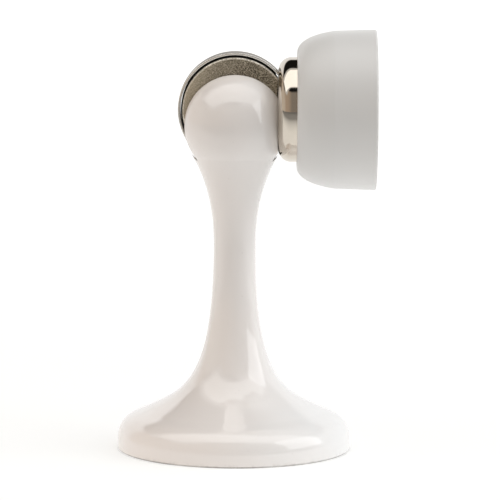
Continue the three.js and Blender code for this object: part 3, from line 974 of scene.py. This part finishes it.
def make_pieces():
    make_pedestal()
    make_pole_plates()
    make_hoop()
    make_spacer()
    make_magnet()
    make_rivet()
    make_grub_screw("pack_grub_screw", "pack_socket_screw", PACK_HEX_R, "stand")
    make_grub_screw("foot_grub_screw", "foot_socket_screw", FOOT_HEX_R, "stand")
    make_grub_screw("cup_grub_screw", "cup_socket_screw", CUP_HEX_R, "door_cup")
    make_floor_plate()
    make_stud()
    make_cup()
    make_door_plate()
    make_bush()
    make_buffer()
    make_spring()
    make_strike()
    make_cap_ring()
    make_rod()
    make_clip()


make_pieces()

# ---------------------------------------------------------------- stage


# What lies round the object: a white sweep behind it, a dim room in front, and a ceiling with black flags.
SWEEP = (1.0, 1.0, 1.0)
ROOM_WALL, ROOM_LEFT, ROOM_RIGHT = (0.65, 0.575, 0.49), (0.48, 0.38, 0.295), (0.17, 0.17, 0.165)
CEILING = (0.68, 0.68, 0.67)
CEILING_LEFT, CEILING_RIGHT = (1.15, 1.1, 1.04), (0.58, 0.59, 0.60)
FLAG = (0.01, 0.0095, 0.0085)

# Where each gives way to the next, as parts of a direction along X, Y or Z.
SWEEP_LEAN, SWEEP_START_Y = 0.7, (-0.25, 0.2)
WALL_END_X, ROOM_FADE_X = (-0.95, -0.75), (-0.7, 0.5)
LEFT_GAP_START_X, LEFT_GAP_END_X, RIGHT_CEILING_START_X = (-0.88, -0.84), (-0.83, -0.8), (0.05, 0.3)
REAR_FLAG_START_Y, FORE_FLAG_END_Y, FORE_FLAG_FOOT_Z = (0.28, 0.34), (-0.62, -0.52), (0.66, 0.72)
CEILING_START_Z = (0.48, 0.54)
CEILING_RISE, CEILING_RISE_Y = 0.05, (0.0, 0.4)

FLOOR_REACH = 6000

# A long lens a metre away, a little above the object, looking slightly down.
LENS_MM, SENSOR_MM = 288, 36
CAMERA_PLACE = (0.0038, -0.984, 0.1798)
LOOK_DOWN_DEGREES, ROLL_DEGREES = 7.53, 0.3


def make_floor():
    """A pale sheet that glows a little, a painted light, less at its sides and less near the object as a
    painted soft shadow, and goes dim in front of the object, a painted falloff.
    """
    reach = FLOOR_REACH
    corners = [(-reach, -reach, 0), (reach, -reach, 0), (reach, reach, 0), (-reach, reach, 0)]
    floor = new_object("floor", corners, [[0, 1, 2, 3]])
    s = Shader("pale_floor", Specular_IOR_Level=0.2)
    x, y = s.axis("x"), s.axis("y")
    distance = s.add("ShaderNodeVectorMath", operation="LENGTH")
    s.set(distance, 0, s.place)
    # The glow is weaker near the object: a painted soft shadow.
    glow = s.remap(distance.outputs["Value"], 0.12, 1.3, 0.48, 0.82)
    glow = s.math("MULTIPLY", glow, s.remap(y, -0.3, -0.08, 0, 1))
    glow = s.math("MULTIPLY", glow, s.remap(s.math("ABSOLUTE", x), 0.14, 0.45, 1, 0.5))
    s.set(s.surface, "Emission Strength", glow)
    s.set(s.surface, "Emission Color", (1.0, 1.0, 0.99))
    paper = s.mix(s.noise(300, 2), (0.57, 0.57, 0.565), (0.59, 0.59, 0.585))
    s.colour(s.mix(s.remap(y, -0.32, -0.1, 0, 1), (0.33, 0.33, 0.325), paper))
    s.roughness(s.remap(s.noise(80, 2), 0.3, 0.7, 0.75, 0.85))
    floor.data.materials.append(s.material)


def softbox(name, place, aim, width, height, power, colour):
    light = bpy.data.lights.new(name, "AREA")
    light.shape, light.size, light.size_y = "RECTANGLE", width, height
    light.energy, light.color = power, colour
    made = bpy.data.objects.new(name, light)
    bpy.context.scene.collection.objects.link(made)
    made.location = place
    made.rotation_euler = (Vector(aim) - Vector(place)).to_track_quat("-Z", "Y").to_euler()


def make_world():
    """The sweep, the room and the ceiling, blended by the direction looked in."""
    world = bpy.data.worlds.new("studio")
    world.use_nodes = True
    bpy.context.scene.world = world
    tree = world.node_tree
    way = tree.nodes.new("ShaderNodeSeparateXYZ")
    tree.links.new(tree.nodes.new("ShaderNodeTexCoord").outputs["Generated"], way.inputs[0])

    def ramp(source, ends):
        node = tree.nodes.new("ShaderNodeMapRange")
        node.interpolation_type = "SMOOTHSTEP"
        tree.links.new(source, node.inputs["Value"])
        node.inputs["From Min"].default_value, node.inputs["From Max"].default_value = ends
        return node.outputs[0]

    def blend(share, first, second):
        node = tree.nodes.new("ShaderNodeMix")
        node.data_type = "RGBA"
        tree.links.new(share, node.inputs["Factor"])
        for socket, value in ((6, first), (7, second)):
            if isinstance(value, bpy.types.NodeSocket):
                tree.links.new(value, node.inputs[socket])
            else:
                node.inputs[socket].default_value = (*value, 1)
        return node.outputs[2]

    def operate(operation, first, second):
        node = tree.nodes.new("ShaderNodeMath")
        node.operation = operation
        for socket, value in enumerate((first, second)):
            if isinstance(value, bpy.types.NodeSocket):
                tree.links.new(value, node.inputs[socket])
            else:
                node.inputs[socket].default_value = value
        return node.outputs[0]

    x, y, z = (way.outputs[letter] for letter in "XYZ")
    # The sweep starts further back on the left, where the room's wall is.
    lean = operate("MULTIPLY", operate("MINIMUM", x, 0.0), SWEEP_LEAN)
    room = blend(ramp(x, ROOM_FADE_X), ROOM_LEFT, ROOM_RIGHT)
    room = blend(ramp(x, WALL_END_X), ROOM_WALL, room)
    around = blend(ramp(operate("ADD", y, lean), SWEEP_START_Y), room, SWEEP)

    # A dark gap parts the ceiling's thin left end from its middle, and the middle has a black flag at the
    # rear and another in front. The right end has none.
    right = ramp(x, RIGHT_CEILING_START_X)
    left = blend(ramp(x, LEFT_GAP_START_X), CEILING_LEFT, FLAG)
    flag = blend(right, left, CEILING_RIGHT)
    over = blend(right, CEILING, CEILING_RIGHT)
    over = blend(ramp(y, REAR_FLAG_START_Y), over, flag)
    over = blend(ramp(x, LEFT_GAP_END_X), left, over)
    fore_flag = blend(ramp(z, FORE_FLAG_FOOT_Z), around, flag)
    over = blend(ramp(y, FORE_FLAG_END_Y), fore_flag, over)

    # The ceiling starts a little higher at the rear.
    rise = operate("MULTIPLY", ramp(y, CEILING_RISE_Y), CEILING_RISE)
    whole = blend(ramp(operate("SUBTRACT", z, rise), CEILING_START_Z), around, over)
    tree.links.new(whole, tree.nodes["Background"].inputs["Color"])


def make_camera():
    camera = bpy.data.cameras.new("camera")
    camera.lens, camera.sensor_width = LENS_MM, SENSOR_MM
    camera.clip_start, camera.clip_end = 0.05, 50
    made = bpy.data.objects.new("camera", camera)
    bpy.context.scene.collection.objects.link(made)
    made.location = CAMERA_PLACE
    pitch, roll = math.radians(90 - LOOK_DOWN_DEGREES), math.radians(ROLL_DEGREES)
    made.rotation_euler = (Matrix.Rotation(pitch, 3, "X") @ Matrix.Rotation(roll, 3, "Z")).to_euler()
    bpy.context.scene.camera = made


make_floor()
make_world()
softbox(
    "overhead",
    place=(-0.15, -0.25, 1.085),
    aim=(-0.15, -0.25, 0),
    width=2.3,
    height=0.92,
    power=6.45,
    colour=(1.0, 0.985, 0.955),
)
softbox(
    "right_box",
    place=(0.975, -0.225, 0.55),
    aim=(0, 0, 0.06),
    width=0.9,
    height=0.8,
    power=4.0,
    colour=(0.98, 0.99, 1.0),
)
make_camera()
bpy.context.scene.view_settings.view_transform = "Standard"
